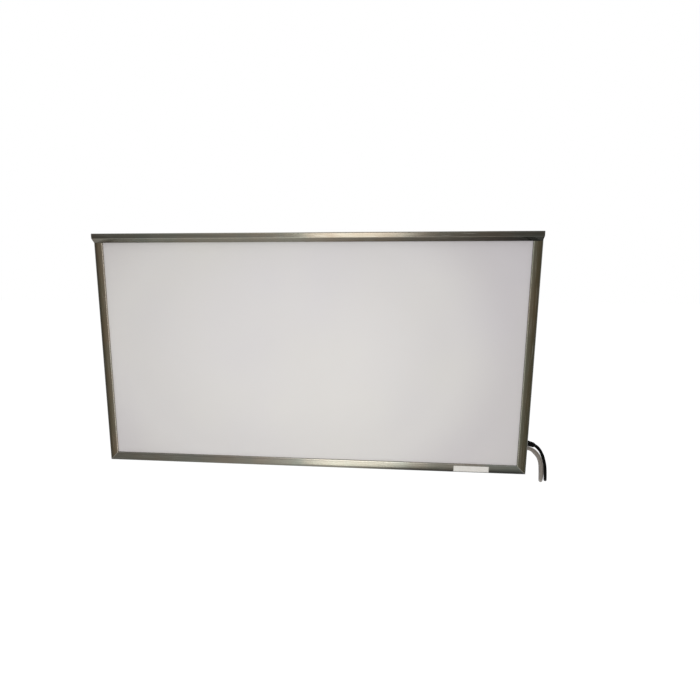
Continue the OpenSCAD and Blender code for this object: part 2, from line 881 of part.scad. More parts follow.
module terminal_block() {
    pole = block_len / block_poles;
    color(white) hung() translate([block_x, floor_y, block_z]) difference() {
        translate([-block_len / 2, -block_h, -block_w / 2]) cube([block_len, block_h, block_w]);
        for (i = [0 : block_poles - 1]) {
            x = (i - (block_poles - 1) / 2) * pole;
            translate([x, -block_h - overrun, 0]) rotate([-90, 0, 0])
                cylinder(h = overrun + block_h / 3, d = pole / 2);
            translate([x, -block_h / 3, 0])
                cylinder(h = block_w + 2 * overrun, d = pole / 3, center = true);
        }
    }
}

// Earth stud with a nut
module earth_stud() {
    color(zinc) hung() translate([stud_x, floor_y, block_z]) rotate([90, 0, 0]) {
        cylinder(h = stud_len, d = stud_d);
        cylinder(h = washer_t, d = washer_d);
        translate([0, 0, washer_t]) cylinder(h = stud_nut_h, d = stud_nut_d, $fn = 6);
    }
}

// Switches

module switch_housing(x) {
    room = 2 * (rocker_r + rocker_gap);
    color(black) hung() translate([x, switch_y, 0]) difference() {
        union() {
            across_z(bezel_face, case_low) round_rect(bezel_len, bezel_w, bezel_bend_r);
            across_z(case_low, case_low + switch_body_h)
                square([switch_body_len, switch_body_w], center = true);
        }
        across_z(bezel_face - overrun, pivot_z + rocker_hub_r + rocker_gap)
            square([room, rocker_w + 2 * rocker_gap], center = true);
        translate([0, 0, pivot_z]) rotate([90, 0, 0])
            cylinder(h = switch_body_w + 2 * overrun, d = rocker_pin_d + 2 * pin_gap, center = true);
    }
}

module switch_housing_left() {
    switch_housing(-switch_x);
}

module switch_housing_right() {
    switch_housing(switch_x);
}

// Rocker, resting with its right half pressed in. Its face is a shallow V about the pivot.
module switch_rocker(x) {
    half = rocker_r;
    face = -rocker_pivot;
    dip = half * tan(rocker_swing / 2);
    color(red) hung() translate([x, switch_y, pivot_z]) rotate([0, -rocker_swing / 2, 0]) {
        across_y(-rocker_w / 2, rocker_w / 2) {
            intersection() {
                polygon([
                    [0, face], [half, face - dip], [half, face - dip + rocker_thick],
                    [0, face + rocker_thick], [-half, face - dip + rocker_thick], [-half, face - dip]
                ]);
                circle(r = half);
            }
            intersection() {
                circle(r = rocker_hub_r);
                translate([-half, face]) square(2 * half);
            }
        }
        rotate([90, 0, 0])
            cylinder(
                h = rocker_w + 2 * (rocker_gap + rocker_pin_seat), d = rocker_pin_d, center = true);
    }
}

module switch_rocker_left() {
    switch_rocker(-switch_x);
}

module switch_rocker_right() {
    switch_rocker(switch_x);
}

// Hangers and buffers

module hanger(x) {
    plate = hanger_plate / 2;
    foot = back_y + hanger_gauge;
    bends = [for (i = [1 : 4]) hanger_bend_r];
    color(zinc) hung() translate([x, 0, hook_rise]) difference() {
        across_z(-hanger_h / 2, hanger_h / 2)
            folded_sheet(
                [
                    [plate + hanger_flange, foot], [plate, foot], [plate, 0],
                    [-plate, 0], [-plate, foot], [-plate - hanger_flange, foot]
                ],
                hanger_gauge, bends);
        round_y(0, 0, -hanger_gauge - overrun, overrun, key_d);
        round_y(0, key_rise, -hanger_gauge - overrun, overrun, key_slot);
        translate([-key_slot / 2, -hanger_gauge - overrun, 0])
            cube([key_slot, hanger_gauge + 2 * overrun, key_rise]);
    }
}

module hanger_left() {
    hanger(-hook_spacing / 2);
}

module hanger_right() {
    hanger(hook_spacing / 2);
}

// Round heads, four on each hanger
module hanger_rivets() {
    foot = back_y + hanger_gauge;
    mid_d = rivet_d * rivet_mid_share;
    top_d = rivet_d * rivet_top_share;
    color(zinc) hung() for (sx = [-1, 1], s = [-1, 1], sz = [-1, 1])
        translate([
            sx * hook_spacing / 2 + s * (hanger_plate / 2 + hanger_flange - rivet_in), foot,
            hook_rise + sz * (hanger_h / 2 - rivet_in)
        ])
            rotate([-90, 0, 0]) {
                cylinder(h = rivet_h / 2, d1 = rivet_d, d2 = mid_d);
                translate([0, 0, rivet_h / 2]) cylinder(h = rivet_h / 2, d1 = mid_d, d2 = top_d);
            }
}

// Rubber cones that keep the lower edge of the case off the wall
module wall_buffers() {
    color(black) hung() for (s = [-1, 1])
        translate([s * buffer_x, back_y, buffer_z]) rotate([-90, 0, 0]) difference() {
            cylinder(h = wall_gap, d1 = buffer_d, d2 = buffer_tip_d);
            translate([0, 0, wall_gap - buffer_hole_depth])
                cylinder(h = buffer_hole_depth + overrun, d = buffer_hole_d);
        }
}

// Screws that show

// Low round head with a driver slot, standing on the plane z = 0
module trim_screw() {
    difference() {
        union() {
            cylinder(h = trim_screw_h / 2, d = trim_screw_d);
            translate([0, 0, trim_screw_h / 2])
                cylinder(h = trim_screw_h / 2, d1 = trim_screw_d, d2 = trim_screw_top_d);
        }
        translate([-trim_screw_d, -trim_screw_slot / 2, trim_screw_h / 2])
            cube([2 * trim_screw_d, trim_screw_slot, trim_screw_h]);
    }
}

module case_screws() {
    y = front_y + frame_wrap - trim_screw_d;
    rows = trim_screw_rows;
    columns = trim_screw_columns;
    color(zinc) hung() {
        both_sides() for (i = [0 : rows - 1])
            translate([frame_x, y, (i - (rows - 1) / 2) * (screen_h - trim_screw_margin) / (rows - 1)])
                rotate([0, 90, 0]) trim_screw();
        for (i = [0 : columns - 1])
            translate([(i - (columns - 1) / 2) * (screen_w - trim_screw_margin) / (columns - 1), y, -frame_z])
                rotate([180, 0, 0]) trim_screw();
    }
}

module rail_screws() {
    count = trim_screw_columns;
    color(zinc) hung() for (i = [0 : count - 1])
        translate([
            (i - (count - 1) / 2) * (screen_w - trim_screw_margin) / (count - 1),
            front_y + rail_back - trim_screw_d, rail_top
        ])
            trim_screw();
}

// Glands and strain reliefs

// Flange outside the wall, neck through it and a wider collar inside
module gland(root, flange_d, neck_d) {
    color(black) hung() translate([case_in_x, root[1], root[2]]) rotate([0, 90, 0]) {
        translate([0, 0, case_gauge]) cylinder(h = gland_flange_t, d = flange_d);
        cylinder(h = case_gauge, d = neck_d);
        translate([0, 0, -gland_flange_t]) cylinder(h = gland_flange_t, d = neck_d + 2 * gland_flange_t);
    }
}

module mains_gland() {
    gland(mains_root, mains_flange_d, mains_neck_d);
}

module link_gland() {
    gland(link_root, link_flange_d, link_neck_d);
}

// Tapered sleeve from the gland to the first point of the lead, with a short cone at its tip
module strain_relief(root, tip, root_d, tip_d, cone, lead_d) {
    way = tip - root;
    length = norm(way);
    angle = atan2(-way[2], way[0]);
    taper = (root_d - tip_d) / 2 / (length - cone);
    hung() intersection() {
        translate(root) rotate([0, 90 + angle, 0]) rotate_extrude() difference() {
            polygon([
                [0, -overrun], [root_d / 2, -overrun], [root_d / 2, 0], [tip_d / 2, length - cone],
                [lead_d / 2 + relief_rim, length], [0, length]
            ]);
            for (at = [relief_groove_pitch * 2 : relief_groove_pitch : length - cone - relief_groove_w])
                translate([root_d / 2 - taper * at - relief_groove, at])
                    square([relief_groove + overrun, relief_groove_w]);
        }
        translate(root + [gland_flange_t, -length, -2 * length]) cube([3 * length, 2 * length, 4 * length]);
    }
}

module mains_strain_relief() {
    color(black) strain_relief(
        mains_root, mains_route[0], mains_relief_root_d, mains_relief_tip_d, mains_relief_cone, mains_d);
}

module link_strain_relief() {
    color(grey) strain_relief(
        link_root, link_route[0], link_relief_root_d, link_relief_tip_d, link_relief_cone, link_d);
}

// Leads

module mains_lead() {
    color(black) hung() tube(mains_route, mains_d, lead_sides);
}

module mains_end() {
    color(black) hung() tube(mains_tail, mains_d, lead_sides);
}

module mains_coil() {
    color(black) hung() tube(mains_line, mains_d, coil_sides);
}

module link_lead() {
    color(grey) hung() tube(link_route, link_d, lead_sides);
}

module link_end() {
    color(grey) hung() tube(link_tail, link_d, lead_sides);
}

module link_coil() {
    color(grey) hung() tube(link_line, link_d, coil_sides);
}

// Strap round the top of a coil, which lies in two layers from the depth y towards y + step
module coil_tie(mid, outer, layers, pitch, step, d) {
    inner_edge = outer - layers * pitch - d / 2 - tie_gap;
    outer_edge = outer + d / 2 + tie_gap;
    depth = abs(step) + d + 2 * tie_gap;
    color(black) hung() across_x(mid[0] - tie_w / 2, mid[0] + tie_w / 2)
        translate([mid[1] + step / 2, mid[2] + (inner_edge + outer_edge) / 2]) difference() {
            round_rect(depth + 2 * tie_t, outer_edge - inner_edge + 2 * tie_t, d / 2);
            round_rect(depth, outer_edge - inner_edge, d / 2 - tie_t);
        }
}

module mains_tie() {
    coil_tie(mains_mid, mains_outer_r, mains_layers, mains_pitch, mains_pitch, mains_d);
}

module link_tie() {
    coil_tie(link_mid, link_outer_r, link_layers, link_pitch, -link_pitch, link_d);
}

// Small bases on the back of the case, each under the strap of a coil
module tie_base(mid, outer, layers, pitch, deepest, d) {
    strap = deepest - d / 2 - tie_gap - tie_t - seat_gap;
    z = mid[2] + outer - layers * pitch / 2;
    color(black) hung() translate([mid[0], 0, z]) {
        across_y(back_y, back_y + base_t) round_rect(base_w, base_w, base_t);
        across_y(back_y, strap) round_rect(base_post_w, base_post_w, base_t);
    }
}

module tie_bases() {
    tie_base(mains_mid, mains_outer_r, mains_layers, mains_pitch, mains_coil_y, mains_d);
    tie_base(link_mid, link_outer_r, link_layers, link_pitch, link_end_y, link_d);
}

// Flat body whose shoulders slope in to the grip, then a tapered strain relief above it
module lead_end(at, w, t, length, grip_w, edge_r, relief_len, relief_d, lead_d) {
    translate(at) {
        translate([0, 0, -relief_len])
            cylinder(h = relief_len, d1 = relief_d, d2 = lead_d + 2 * relief_rim);
        translate([0, 0, -relief_len - length]) intersection() {
            linear_extrude(length) round_rect(w, t, edge_r);
            across_y(-t, t) shoulders(w, length, (w - grip_w) / 2, length / 2);
            across_x(-w, w) shoulders(t, length, edge_r / 2, length / 3);
        }
    }
}

// Outline of a body, seen square on, whose upper corners are cut off by in and down
module shoulders(w, h, in, down) {
    polygon([
        [-w, -overrun], [w, -overrun], [w, h - down], [w / 2, h - down],
        [w / 2 - in, h], [-w / 2 + in, h], [-w / 2, h - down], [-w, h - down]
    ]);
}

module mains_plug() {
    color(black) hung() lead_end(
        [mains_end_x, plug_y, plug_z], plug_w, plug_t, plug_len, plug_grip_w, plug_edge_r,
        plug_relief_len, plug_relief_d, mains_d);
}

// Three round pins, the middle one for earth
module plug_pins() {
    color(zinc) hung() translate([mains_end_x, plug_y, plug_z - plug_relief_len - plug_len])
        for (s = [-1, 0, 1])
            translate([s * plug_pin_pitch / 2, s == 0 ? plug_earth_off : 0, -plug_pin_len]) {
                translate([0, 0, plug_pin_d / 2]) cylinder(h = plug_pin_len - plug_pin_d / 2, d = plug_pin_d);
                translate([0, 0, plug_pin_d / 2]) sphere(d = plug_pin_d);
            }
}

module link_socket() {
    color(grey) hung() difference() {
        lead_end(
            [link_end_x, socket_y, socket_z], socket_w, socket_t, socket_len, plug_grip_w, socket_edge_r,
            socket_relief_len, socket_relief_d, link_d);
        translate([link_end_x, socket_y, socket_z - socket_relief_len - socket_len])
            for (s = [-1, 0, 1])
                translate([s * plug_pin_pitch / 2, s == 0 ? plug_earth_off : 0, -overrun])
                    cylinder(h = socket_hole_depth + overrun, d = socket_hole_d);
    }
}

case_tray();
frame_left();
frame_right();
frame_bottom();
corner_keys();
top_rail();
rail_end_cap_left();
rail_end_cap_right();
roller_dividers();
grip_roller(0);  // grip_roller_1
grip_roller(1);  // grip_roller_2
grip_roller(2);  // grip_roller_3
grip_roller(3);  // grip_roller_4
grip_roller(4);  // grip_roller_5
grip_roller(5);  // grip_roller_6
diffuser();
diffuser_gasket();
reflector();
lamp_tubes();
lamp_caps();
lampholders();
lampholder_rails();
ballast_left();
ballast_right();
ballast_screws();
terminal_block();
earth_stud();
switch_housing_left();
switch_housing_right();
switch_rocker_left();
switch_rocker_right();
hanger_left();
hanger_right();
hanger_rivets();
wall_buffers();
case_screws();
rail_screws();
mains_gland();
mains_strain_relief();
mains_lead();
mains_coil();
mains_end();
mains_tie();
mains_plug();
plug_pins();
link_gland();
link_strain_relief();
link_lead();
link_coil();
link_end();
link_tie();
link_socket();
tie_bases();
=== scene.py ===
import math

import bmesh
import bpy
from mathutils import Matrix, Vector


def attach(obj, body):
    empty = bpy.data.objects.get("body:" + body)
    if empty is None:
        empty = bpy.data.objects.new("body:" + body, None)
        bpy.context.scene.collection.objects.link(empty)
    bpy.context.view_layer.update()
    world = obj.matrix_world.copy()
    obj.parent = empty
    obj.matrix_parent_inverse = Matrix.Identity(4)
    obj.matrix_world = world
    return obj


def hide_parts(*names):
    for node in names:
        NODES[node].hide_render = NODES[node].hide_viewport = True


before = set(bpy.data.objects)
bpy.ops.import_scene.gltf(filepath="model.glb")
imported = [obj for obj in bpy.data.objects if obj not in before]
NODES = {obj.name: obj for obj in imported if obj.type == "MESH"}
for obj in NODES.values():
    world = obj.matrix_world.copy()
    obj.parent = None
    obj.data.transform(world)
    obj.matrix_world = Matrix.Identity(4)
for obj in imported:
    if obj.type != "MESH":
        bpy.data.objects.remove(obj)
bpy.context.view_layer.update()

# The part's drawing has z = 0 at the screen's middle; the row frame has it at the keyholes.
HOOK_RISE = 0.170

# Camera. It is fitted to the four corners of the screen in the photograph.

CAMERA_PLACE = Vector((0.10605, -1.06932, 0.01115))
CAMERA_RIGHT = Vector((0.99573, 0.09233, -0.00108))
CAMERA_FORWARD = Vector((-0.09104, 0.97984, -0.17786))
CAMERA_LENS = 25.413
CAMERA_SHIFT = 0.0443
SENSOR_WIDTH = 36
CLIP_START, CLIP_END = 0.01, 60


def make_camera():
    data = bpy.data.cameras.new("camera")
    data.lens = CAMERA_LENS
    data.sensor_width = SENSOR_WIDTH
    data.shift_x = CAMERA_SHIFT
    data.clip_start, data.clip_end = CLIP_START, CLIP_END
    back = -CAMERA_FORWARD.normalized()
    up = back.cross(CAMERA_RIGHT).normalized()
    right = up.cross(back)
    turn = Matrix((right, up, back)).transposed().to_4x4()
    camera = bpy.data.objects.new("camera", data)
    camera.matrix_world = Matrix.Translation(CAMERA_PLACE) @ turn
    bpy.context.scene.collection.objects.link(camera)
    bpy.context.scene.camera = camera


make_camera()

# Leads. Diameters are in metres.

MAINS_D = 0.0062
LINK_D = 0.008
CORD_SIDES = 18
ROUTE_STEPS = 8
TAIL_STEPS = 6
STEPS_PER_TURN = 48
# A coil passes from its first layer to its second in this share of a turn.
CLIMB_TURNS = 0.5
SHORTEST_SPAN = 1e-6
# Points of part.scad's routes, in its drawing frame and in millimetres.
MAINS_ROUTE = [
    (446.8, -83.0, -185.4), (452.5, -83, -187.2), (460.5, -82.9, -193.4), (466.8, -82.6, -203),
    (471.7, -82.3, -214.5), (475.3, -81.9, -226.4), (478, -80.2, -240), (483.4, -70, -264),
    (492.2, -46.5, -274), (499.4, -23.5, -265), (499.3, -14.5, -249), (495.6, -12.2, -236),
    (489.4, -12, -225.5), (481.5, -12, -217), (471.8, -12, -211), (460, -12, -207.8),
    (444, -12.5, -206.4), (426, -13, -206), (407, -13.6, -206), (384.6, -14, -196.6),
    (375, -14, -174), (375, -14, -150), (375, -14, -122), (375, -14, -96.2),
]
LINK_ROUTE = [
    (440.4, -64.0, -198.6), (446, -64, -200.8), (451, -64.4, -202.3), (457.3, -65.1, -205.3),
    (462, -65.6, -209.1), (466.6, -66.3, -215), (470.7, -67, -223.4), (473.8, -67.8, -234.9),
    (475.8, -68.2, -248.6), (477.8, -61.5, -268), (484.8, -41, -279.4), (492.4, -17, -269.6),
    (493, -8.6, -254.4), (489.2, -6.4, -243), (480.9, -6.2, -232.6), (471.9, -6.2, -225),
    (457, -6.4, -221), (440, -6.8, -220), (415, -7.2, -220), (385, -7.6, -220), (350, -8, -220),
    (316, -8, -220), (284, -8, -220), (260, -8, -210), (250, -8, -186), (250, -8, -156),
    (250, -8, -126), (250, -8, -98),
]
MAINS_TAIL = [
    (284.3, -7.2, -96.2), (284.3, -7.2, -102.4), (284.3, -11.5, -113.8), (284.3, -11.5, -120),
]
LINK_TAIL = [
    (150.95, -16.6, -98), (150.95, -16.6, -106), (150.95, -12, -114), (150.95, -12, -122),
]


def in_row_frame(points):
    """Drawing points in millimetres as row frame points in metres."""
    return [Vector((x / 1000, y / 1000, z / 1000 - HOOK_RISE)) for x, y, z in points]


def smooth_run(points, steps):
    """A smooth line through all the points (centripetal Catmull-Rom), steps to each span."""
    ends = [2 * points[0] - points[1], *points, 2 * points[-1] - points[-2]]
    run = []
    for a, b, c, d in zip(ends, ends[1:], ends[2:], ends[3:]):
        ka = math.sqrt(max((b - a).length, SHORTEST_SPAN))
        kb = math.sqrt(max((c - b).length, SHORTEST_SPAN))
        kc = math.sqrt(max((d - c).length, SHORTEST_SPAN))
        out_b = ((b - a) / ka - (c - a) / (ka + kb) + (c - b) / kb) * kb
        out_c = ((c - b) / kb - (d - b) / (kb + kc) + (d - c) / kc) * kb
        for i in range(steps):
            t = i / steps
            run.append(
                (2 * t**3 - 3 * t**2 + 1) * b + (t**3 - 2 * t**2 + t) * out_b
                + (3 * t**2 - 2 * t**3) * c + (t**3 - t**2) * out_c
            )
    run.append(points[-1])
    return run


def coil_points(mid, outer_r, pitch, layers, step):
    """The loops that part.scad winds: in towards the middle, over one climb, and out again."""
    count = round(2 * layers * STEPS_PER_TURN)
    made = []
    for i in range(1, count):
        t = i / STEPS_PER_TURN
        r = outer_r - pitch * (t if t < layers else 2 * layers - t)
        s = min(1, max(0, (t - layers) / CLIMB_TURNS + 0.5))
        climb = step * s * s * (3 - 2 * s)
        a = 2 * math.pi * t
        made.append((mid[0] + r * math.cos(a), mid[1] + climb, mid[2] + r * math.sin(a)))
    return made


def lead_line(route, coil, tail):
    """The whole centreline of a lead: its route to the coil, the loops and the tail."""
    start = (route[-1][0], route[-1][1], coil["mid"][2])
    end = (tail[0][0], tail[0][1], coil["mid"][2])
    loops = coil_points(**coil)
    return (
        smooth_run(in_row_frame(route), ROUTE_STEPS)
        + in_row_frame([start, *loops, end])
        + smooth_run(in_row_frame(tail), TAIL_STEPS)
    )


MAINS_COIL = dict(mid=(329.65, -14, -90), outer_r=45.35, pitch=6.8, layers=2.75, step=6.8)
LINK_COIL = dict(mid=(200.475, -8, -90), outer_r=49.525, pitch=8.6, layers=1.75, step=-8.6)
MAINS_LINE = lead_line(MAINS_ROUTE, MAINS_COIL, MAINS_TAIL)
LINK_LINE = lead_line(LINK_ROUTE, LINK_COIL, LINK_TAIL)


def show(name, mesh):
    """A new object with that mesh in the scene, its faces shaded smooth."""
    piece = bpy.data.objects.new(name, mesh)
    bpy.context.scene.collection.objects.link(piece)
    for face in mesh.polygons:
        face.use_smooth = True
    return piece


def make_lead(name, line, diameter):
    """A closed round tube along a line, its rings carried along so that it doesn't twist."""
    across = Vector((0, 1, 0))
    points, faces = [], []
    ring = range(CORD_SIDES)
    for i, place in enumerate(line):
        ahead = line[min(i + 1, len(line) - 1)]
        behind = line[max(i - 1, 0)]
        way = (ahead - behind).normalized()
        across = (across - way * across.dot(way)).normalized()
        third = way.cross(across)
        for k in ring:
            a = 2 * math.pi * k / CORD_SIDES
            points.append(place + (across * math.cos(a) + third * math.sin(a)) * diameter / 2)
        if i:
            low, high = (i - 1) * CORD_SIDES, i * CORD_SIDES
            for k in ring:
                after = (k + 1) % CORD_SIDES
                faces.append((low + k, low + after, high + after, high + k))
    faces.append(tuple(reversed(ring)))
    faces.append(tuple(range(len(points) - CORD_SIDES, len(points))))
    mesh = bpy.data.meshes.new(name)
    mesh.from_pydata(points, [], faces)
    return show(name, mesh)


mains_cord = make_lead("mains_cord", MAINS_LINE, MAINS_D)
link_cord = make_lead("link_cord", LINK_LINE, LINK_D)
for cord, nodes, slot in (
    (mains_cord, ("mains_lead", "mains_coil", "mains_end"), "black_cord"),
    (link_cord, ("link_lead", "link_coil", "link_end"), "grey_cord"),
):
    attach(cord, "root")
    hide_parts(*nodes)

# Shader helpers

X, Z = 0, 2
# The colour sockets of a Mix node.
MIX_A, MIX_B, MIX_RESULT = 6, 7, 2


def srgb(red, green, blue):
    """A colour given as levels from 0 to 255, all above the curve's straight start, made linear."""
    return (*(((v / 255 + 0.055) / 1.055) ** 2.4 for v in (red, green, blue)), 1.0)


def grey(value):
    return (value, value, value, 1.0)


class Shade:
    """A principled material, with short calls for the nodes that feed it."""

    def __init__(self, name, **sockets):
        self.material = bpy.data.materials.new(name)
        self.material.use_nodes = True
        self.tree = self.material.node_tree
        self.tree.nodes.clear()
        self.surface = self.add("ShaderNodeBsdfPrincipled")
        out = self.add("ShaderNodeOutputMaterial")
        self.tree.links.new(self.surface.outputs[0], out.inputs[0])
        self.place = self.add("ShaderNodeTexCoord").outputs["Object"]
        self.set(**sockets)

    def add(self, kind):
        return self.tree.nodes.new(kind)

    def feed(self, socket, value):
        if isinstance(value, bpy.types.NodeSocket):
            self.tree.links.new(value, socket)
        else:
            socket.default_value = value

    def set(self, **sockets):
        """Sets or feeds the shader's sockets: base_color, roughness, coat_weight and so on."""
        for key, value in sockets.items():
            words = key.split("_")
            name = " ".join(w.upper() if w == "ior" else w.capitalize() for w in words)
            self.feed(self.surface.inputs[name], value)

    def scaled(self, x, y, z):
        node = self.add("ShaderNodeVectorMath")
        node.operation = "MULTIPLY"
        self.feed(node.inputs[0], self.place)
        node.inputs[1].default_value = (x, y, z)
        return node.outputs[0]

    def axis(self, index):
        node = self.add("ShaderNodeSeparateXYZ")
        self.feed(node.inputs[0], self.place)
        return node.outputs[index]

    def noise(self, scale, detail, rough, vector=None, distortion=0.0):
        node = self.add("ShaderNodeTexNoise")
        self.feed(node.inputs["Vector"], vector or self.place)
        node.inputs["Scale"].default_value = scale
        node.inputs["Detail"].default_value = detail
        node.inputs["Roughness"].default_value = rough
        node.inputs["Distortion"].default_value = distortion
        return node.outputs[0]

    def cells(self, scale):
        node = self.add("ShaderNodeTexVoronoi")
        self.feed(node.inputs["Vector"], self.place)
        node.inputs["Scale"].default_value = scale
        return node.outputs["Distance"]

    def spread(self, value, low, high, to_low=0.0, to_high=1.0):
        """A value's range low to high moved to another range, and kept in it."""
        node = self.add("ShaderNodeMapRange")
        node.clamp = True
        for socket, v in zip(node.inputs, (value, low, high, to_low, to_high)):
            self.feed(socket, v)
        return node.outputs[0]

    def maths(self, a, b, kind="ADD"):
        node = self.add("ShaderNodeMath")
        node.operation = kind
        self.feed(node.inputs[0], a)
        self.feed(node.inputs[1], b)
        return node.outputs[0]

    def ramp(self, value, *stops, ease="LINEAR"):
        node = self.add("ShaderNodeValToRGB")
        node.color_ramp.interpolation = ease
        marks = node.color_ramp.elements
        while len(marks) < len(stops):
            marks.new(0.5)
        for mark, (at, colour) in zip(marks, stops):
            mark.position = at
            mark.color = colour
        self.feed(node.inputs[0], value)
        return node.outputs[0]

    def mix(self, share, a, b, kind="MIX"):
        node = self.add("ShaderNodeMix")
        node.data_type = "RGBA"
        node.blend_type = kind
        self.feed(node.inputs[0], share)
        self.feed(node.inputs[MIX_A], a)
        self.feed(node.inputs[MIX_B], b)
        return node.outputs[MIX_RESULT]

    def tinted(self, base, tint):
        return self.mix(1.0, base, tint, "MULTIPLY")

    def bump(self, height, distance, strength):
        node = self.add("ShaderNodeBump")
        node.inputs["Strength"].default_value = strength
        node.inputs["Distance"].default_value = distance
        self.feed(node.inputs["Height"], height)
        return node.outputs[0]


# Worn steel of the frame, with painted reflection in its tones

LENGTHWISE = {"x": (7, 900, 900), "z": (900, 900, 7)}
SCRATCHWISE = {"x": (22, 2600, 2600), "z": (2600, 2600, 22)}
# The mitres lie where |x| + z is this much. Their edges are rubbed bright out to MITRE_RUB.
MITRE = 0.022
MITRE_RUB = (0.0003, 0.0010)
# The painted reflection along a strip runs from -STRIP_REACH to STRIP_REACH in x.
STRIP_REACH = 0.43
STEEL_ROUGH = 0.17
STEEL_BUMP = 0.000007


def worn_steel_and_sheen(name, along, across, low, high, tones, ends=None):
    """Bare steel with a grey-brown patina that follows the strip.

    Its tones run across it, from low to high on the axis across: patina with painted reflection,
    darker towards the outer edge, bright at the inner lip and bright along the rail's bend. Streaks
    and fine scratches run along it. ends holds two runs of painted reflection along its length,
    brighter near the middle and darker towards the ends, one for its low side and one for its high
    side, and the two shares of its width between which they change over.
    """
    s = Shade(name, metallic=1.0)
    x, z = s.axis(X), s.axis(Z)
    over = s.spread(s.axis(across), low, high)
    # Patina across the strip with painted reflection: darker outer edge, bright inner lip.
    tone = s.ramp(over, *tones)
    # Painted reflection along the strip: brighter near the middle, darker towards the ends.
    if ends:
        at_low, at_high, change_from, change_to = ends
        where = s.spread(x, -STRIP_REACH, STRIP_REACH)
        turned = s.spread(over, change_from, change_to)
        painted_reflection_run = s.mix(turned, s.ramp(where, *at_low), s.ramp(where, *at_high))
        tone = s.tinted(tone, painted_reflection_run)
    patches = s.noise(9, 4, 0.6)
    warm = s.tinted(tone, srgb(254, 245, 233))
    cool = s.tinted(tone, srgb(240, 250, 244))
    tone = s.mix(s.spread(patches, 0.36, 0.64), cool, warm)
    streaks = s.noise(1.0, 3, 0.65, s.scaled(*LENGTHWISE[along]))
    tone = s.mix(s.spread(streaks, 0.35, 0.72, 0, 0.34), tone, s.tinted(tone, grey(0.5)))
    marks = s.noise(1.0, 2, 0.5, s.scaled(*SCRATCHWISE[along]))
    tone = s.mix(s.spread(marks, 0.62, 0.74, 0, 0.3), tone, srgb(190, 187, 180))
    pits = s.noise(420, 3, 0.7)
    tone = s.mix(s.spread(pits, 0.66, 0.76, 0, 0.6), tone, srgb(50, 40, 29))
    off_mitre = s.maths(s.maths(s.maths(x, 0.0, "ABSOLUTE"), z), MITRE, "SUBTRACT")
    rubbed = s.spread(s.maths(off_mitre, 0.0, "ABSOLUTE"), *MITRE_RUB, 0.5, 0.0)
    rubbed = s.maths(rubbed, s.spread(pits, 0.3, 0.6, 1.0, 0.5), "MULTIPLY")
    tone = s.mix(rubbed, tone, srgb(176, 172, 164))
    haze = s.spread(patches, 0.3, 0.75, STEEL_ROUGH - 0.03, STEEL_ROUGH + 0.07)
    relief = s.maths(s.maths(streaks, marks), s.maths(pits, 1.4, "MULTIPLY"), "SUBTRACT")
    s.set(
        base_color=tone,
        roughness=s.maths(haze, s.spread(pits, 0.62, 0.76, 0, 0.18)),
        normal=s.bump(relief, STEEL_BUMP, 0.6),
    )
    return s.material


def shades(*pairs):
    """Stops of a grey ramp, each written as its place and its level in linear light."""
    return tuple((at, grey(level)) for at, level in pairs)


# Tones across each strip: patina with painted reflection, darker towards the outer edge and bright
# at the inner lip; on the rail, a bright line along its bend.
LEFT_TONES = (
    (0.0, srgb(54, 52, 43)), (0.2, srgb(52, 49, 40)), (0.6, srgb(93, 85, 72)),
    (0.88, srgb(103, 95, 84)), (1.0, srgb(156, 151, 145)),
)
RIGHT_TONES = (
    (0.0, srgb(124, 120, 113)), (0.16, srgb(94, 88, 77)), (0.5, srgb(77, 69, 55)),
    (1.0, srgb(58, 55, 44)),
)
BOTTOM_TONES = (
    (0.0, srgb(120, 117, 110)), (0.5, srgb(148, 145, 137)), (0.75, srgb(148, 145, 138)),
    (0.86, srgb(130, 127, 121)), (1.0, srgb(178, 175, 170)),
)
# Painted reflection along the bottom strip and the rail, for the low and the high side: brightest
# near the middle and darkest at the right end.
BOTTOM_PAINTED_REFLECTION = (
    shades((0.0, 0.28), (0.35, 0.64), (0.57, 0.96), (0.73, 0.17), (1.0, 0.10)),
    shades((0.0, 0.34), (0.3, 0.54), (0.5, 1.0), (0.73, 0.92), (0.8, 0.66), (1.0, 0.52)),
    0.25, 0.85,
)
RAIL_TONES = (
    (0.0, srgb(146, 142, 134)), (0.36, srgb(156, 152, 143)), (0.42, srgb(176, 172, 163)),
    (0.48, srgb(118, 114, 107)), (0.8, srgb(122, 117, 109)), (1.0, srgb(150, 146, 139)),
)
RAIL_PAINTED_REFLECTION = (
    shades((0.0, 0.42), (0.16, 0.76), (0.48, 1.0), (0.72, 0.45), (1.0, 0.08)),
    shades((0.0, 0.28), (0.27, 0.76), (0.5, 1.0), (0.63, 0.88), (0.76, 0.48), (1.0, 0.23)),
    0.40, 0.46,
)
# Where each strip begins and ends across its width, in x or in z.
LEFT_X = (-0.427, -0.408)
RIGHT_X = (0.408, 0.427)
BOTTOM_Z = (-0.405, -0.386)
RAIL_Z = (0.046, 0.0632)
FRAME_STEEL = {
    "frame_left": worn_steel_and_sheen("steel_left", "z", X, *LEFT_X, LEFT_TONES),
    "frame_right": worn_steel_and_sheen("steel_right", "z", X, *RIGHT_X, RIGHT_TONES),
    "frame_bottom": worn_steel_and_sheen("steel_bottom", "x", Z, *BOTTOM_Z, BOTTOM_TONES, BOTTOM_PAINTED_REFLECTION),
}
for rail_node, rail_steel in (
    ("top_rail", "steel_rail"),
    ("rail_end_cap_left", "steel_cap_left"),
    ("rail_end_cap_right", "steel_cap_right"),
):
    FRAME_STEEL[rail_node] = worn_steel_and_sheen(rail_steel, "x", Z, *RAIL_Z, RAIL_TONES, RAIL_PAINTED_REFLECTION)

# Opal panel. Its painted sheen is brightest in the middle of these ranges of x and z, with painted
# shade towards the edges.

OPAL_SHEEN_X = (-0.505, 0.405)
OPAL_SHEEN_Z = (-0.50, 0.18)
OPAL_BUMP = 0.0006


